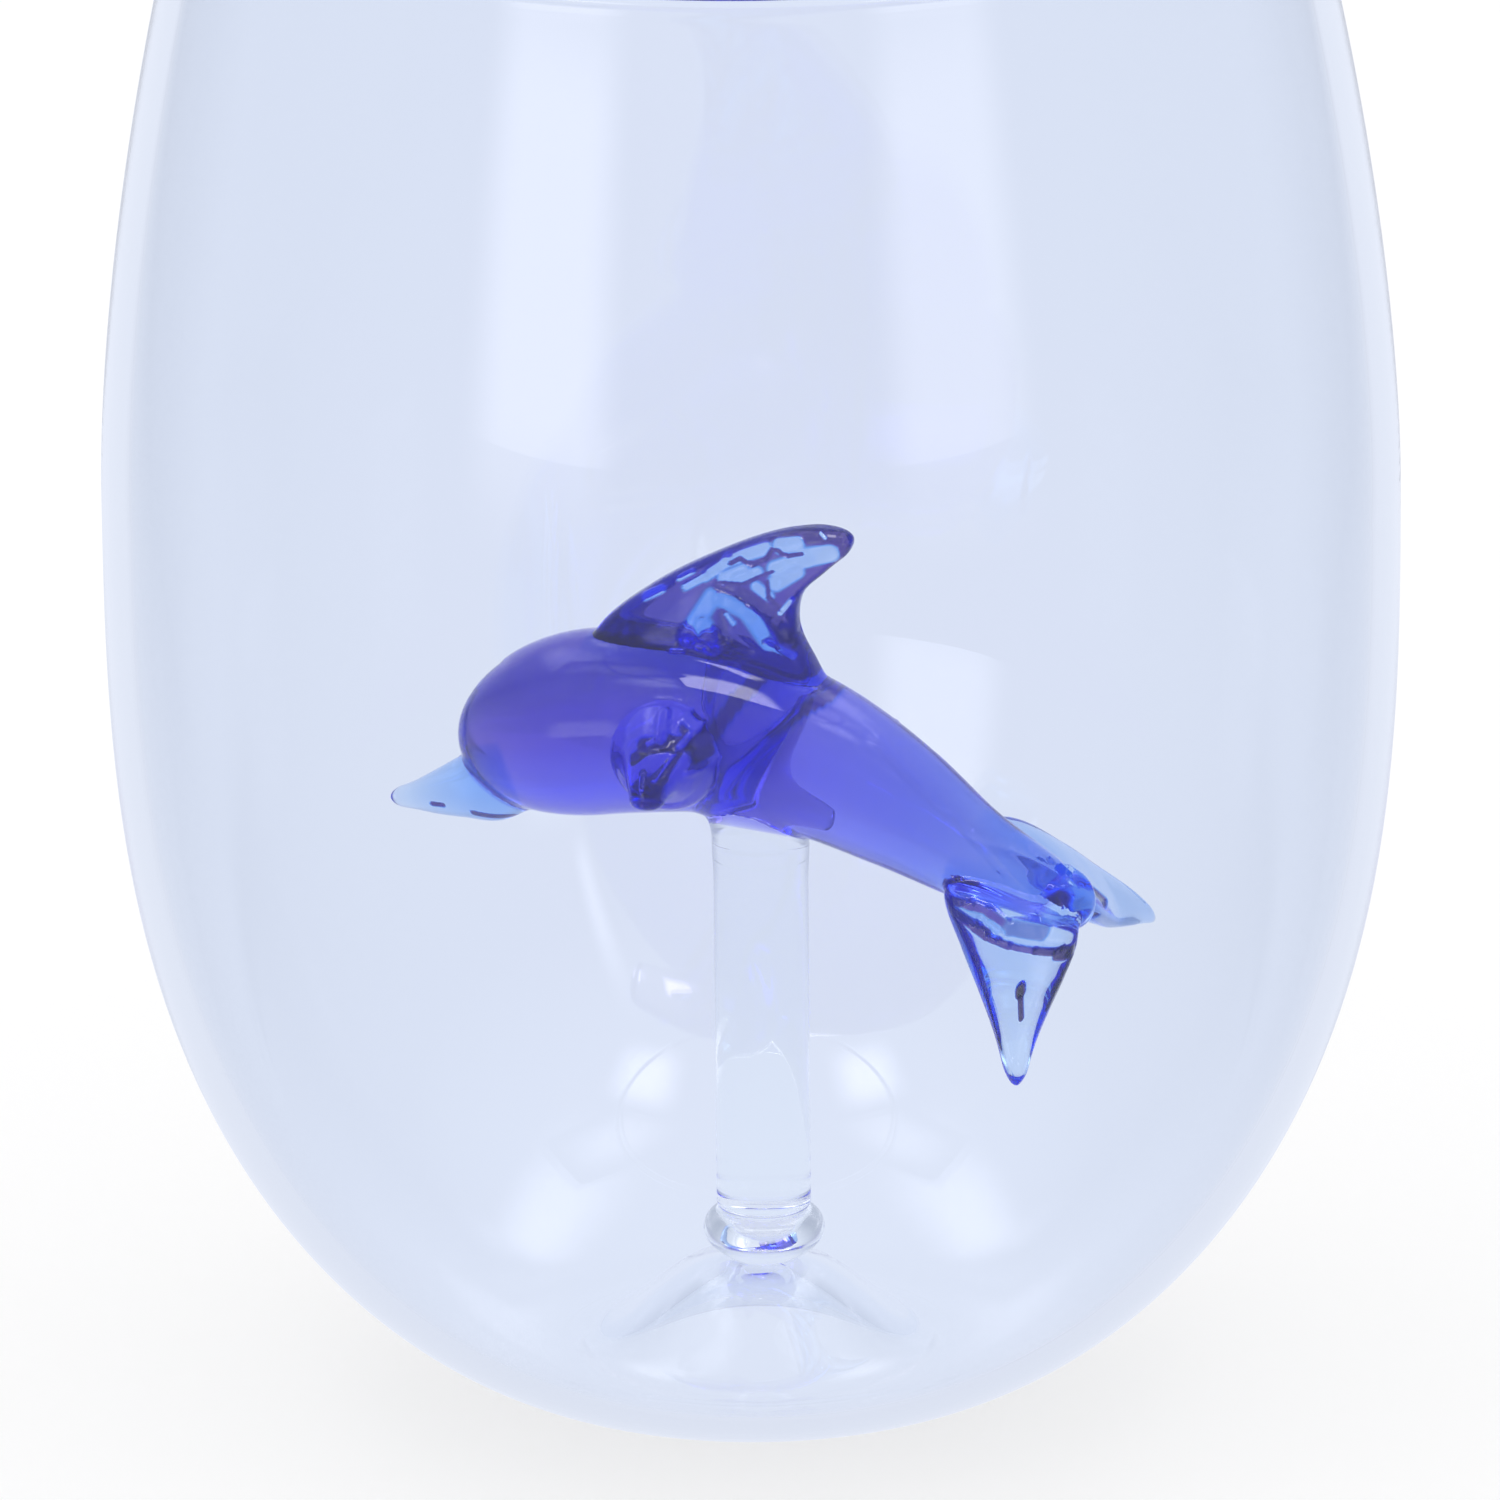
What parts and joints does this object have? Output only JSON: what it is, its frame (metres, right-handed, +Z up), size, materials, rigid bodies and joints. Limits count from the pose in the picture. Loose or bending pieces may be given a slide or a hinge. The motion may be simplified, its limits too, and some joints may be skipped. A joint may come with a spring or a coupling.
{
  "type": "glass figurine in a tumbler",
  "caption": "Stemless egg-shaped drinking glass with a lampworked dolphin of coloured glass standing inside it on a clear glass post.",
  "frame": {"origin": "on the surface the glass stands on, under the middle of its round foot", "axes": "+Z up along the tumbler's axis, the dolphin's head towards -X and a little towards +Y, the picture taken from -Y"},
  "size_m": [0.0948, 0.0948, 0.1168],
  "materials": {
    "clear_glass": "fire-polished clear borosilicate glass with a faint blue cast",
    "cobalt_glass": "transparent cobalt blue glass, fire-polished",
    "pale_blue_glass": "transparent pale blue glass, fire-polished, with tool marks"
  },
  "bodies": {
    "root": {"tumbler_bowl": "clear_glass", "post_foot_weld": "clear_glass", "support_post": "clear_glass", "post_saddle": "clear_glass", "dolphin_body": "cobalt_glass", "beak": "pale_blue_glass", "dorsal_fin": "pale_blue_glass", "left_pectoral_fin": "cobalt_glass", "right_pectoral_fin": "cobalt_glass", "tail_knuckle": "pale_blue_glass", "left_fluke": "pale_blue_glass", "right_fluke": "pale_blue_glass"}
  },
  "joints": []
}
